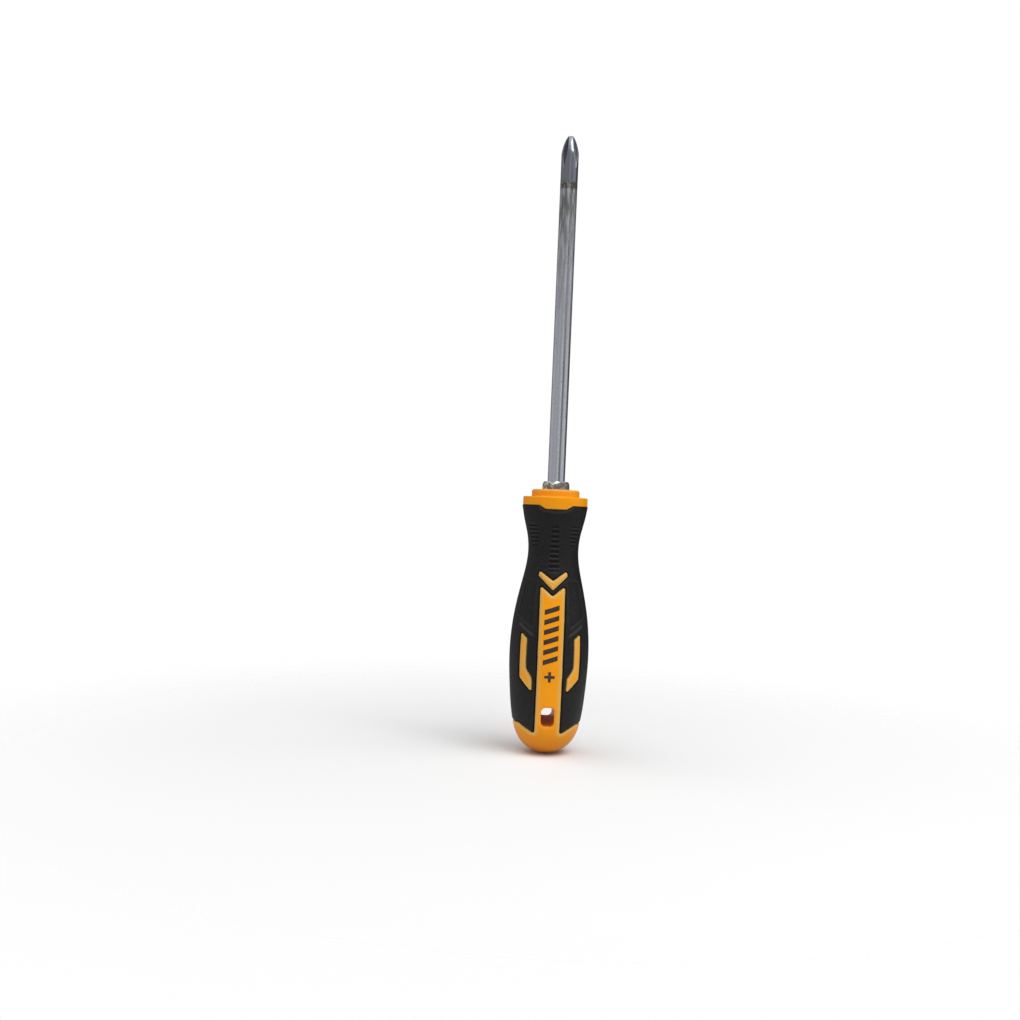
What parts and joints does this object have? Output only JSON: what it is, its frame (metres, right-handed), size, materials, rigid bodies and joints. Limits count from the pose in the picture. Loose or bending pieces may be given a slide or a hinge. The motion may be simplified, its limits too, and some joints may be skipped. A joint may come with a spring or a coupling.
{
  "type": "screwdriver",
  "caption": "Cross-tip screwdriver with a round chrome blade, hexagon bolster and two-colour hard and soft moulded handle with a hanging hole.",
  "frame": {"origin": "on the tool's axis, at the lowest point of the butt of the handle", "axes": "+Z along the tool's axis from the butt to the tip; -Y out of the front strip of the handle; +X to the right when the front is seen with the tip up"},
  "size_m": [0.0344, 0.0344, 0.2675],
  "materials": {
    "chrome_bar": "polished",
    "bolster_steel": "satin",
    "core_plastic": "matte",
    "yellow_plastic": "satin",
    "black_rubber": "matte"
  },
  "bodies": {
    "root": {"blade": "chrome_bar", "bolster": "bolster_steel", "inner_core": "core_plastic", "handle_shell": "yellow_plastic", "rubber_grip": "black_rubber"}
  },
  "joints": []
}
